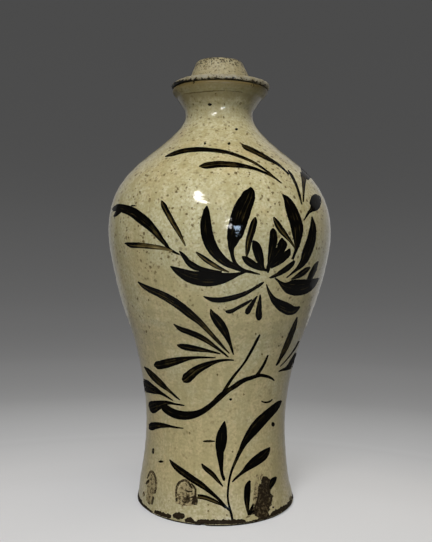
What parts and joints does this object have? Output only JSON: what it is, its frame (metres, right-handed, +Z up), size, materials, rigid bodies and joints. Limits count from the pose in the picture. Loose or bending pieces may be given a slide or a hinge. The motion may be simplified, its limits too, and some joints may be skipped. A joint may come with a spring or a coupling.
{
  "type": "meiping vase",
  "caption": "Tall meiping vase in glazed stoneware with a high round shoulder, flaring foot, short neck and a loose hat-shaped lid that lifts off the mouth.",
  "frame": {"origin": "centre of the foot ring, on the table", "axes": "+Z up along the axis of turning; -Y is the side that faces the camera in the picture"},
  "size_m": [0.1612, 0.1612, 0.3196],
  "materials": {
    "celadon_glaze": "glossy pale olive-grey celadon glaze, mottled and flecked with iron; iron-brown brush painting under it; bare brown clay at the foot",
    "lid_glaze": "the same celadon glaze, worn and stained brown along the edge of the brim"
  },
  "bodies": {
    "vase": {"lower_body": "celadon_glaze", "upper_body": "celadon_glaze", "neck": "celadon_glaze"},
    "lid": {"lid": "lid_glaze"}
  },
  "joints": [
    {"name": "lid_lift", "type": "slide", "parent": "vase", "child": "lid", "axis": [0, 0, 1], "range_m": [0, 0.08]}
  ]
}
